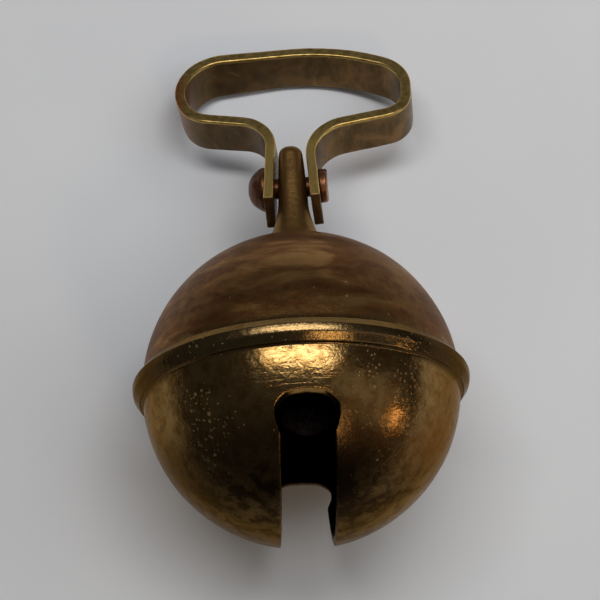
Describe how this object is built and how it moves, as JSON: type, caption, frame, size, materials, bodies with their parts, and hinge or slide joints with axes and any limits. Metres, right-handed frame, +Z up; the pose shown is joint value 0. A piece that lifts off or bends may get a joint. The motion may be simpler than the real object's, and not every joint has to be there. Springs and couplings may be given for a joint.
{
  "type": "cowbell",
  "caption": "Hollow spherical brass crotal bell with a raised ring, a keyhole slot, a loose iron pellet inside and a strap handle riveted to its lug.",
  "frame": {"origin": "bottom centre of the whole object as it lies, on the surface that it rests on", "axes": "+Z up from the surface that the bell lies on, X along the rivet, +Y from the mouth towards the handle"},
  "size_m": [0.0806, 0.1303, 0.0787],
  "materials": {
    "cast_brass": "old polished cast brass, tarnished brown over the lug half, with small pale casting pits",
    "strap_brass": "rolled brass strap, dark olive tarnish on its faces and worn bright along its edges",
    "rivet_copper": "hammered copper, dark red brown with a bright worn tail",
    "pellet_iron": "rough cast iron with a thin brown rust"
  },
  "bodies": {
    "bell": {"bell_body": "cast_brass"},
    "handle": {"handle_strap": "strap_brass", "rivet": "rivet_copper"},
    "pellet": {"pellet": "pellet_iron"}
  },
  "joints": [
    {"name": "handle_swing", "type": "hinge", "parent": "bell", "child": "handle", "pos_m": [0, 0.02431, 0.02668], "axis": [1, 0, 0], "range_deg": [-84, 116]},
    {"name": "pellet_roll", "type": "hinge", "parent": "bell", "child": "pellet", "pos_m": [0, -0.02767, 0.03936], "axis": [1, 0, 0], "continuous": true}
  ]
}
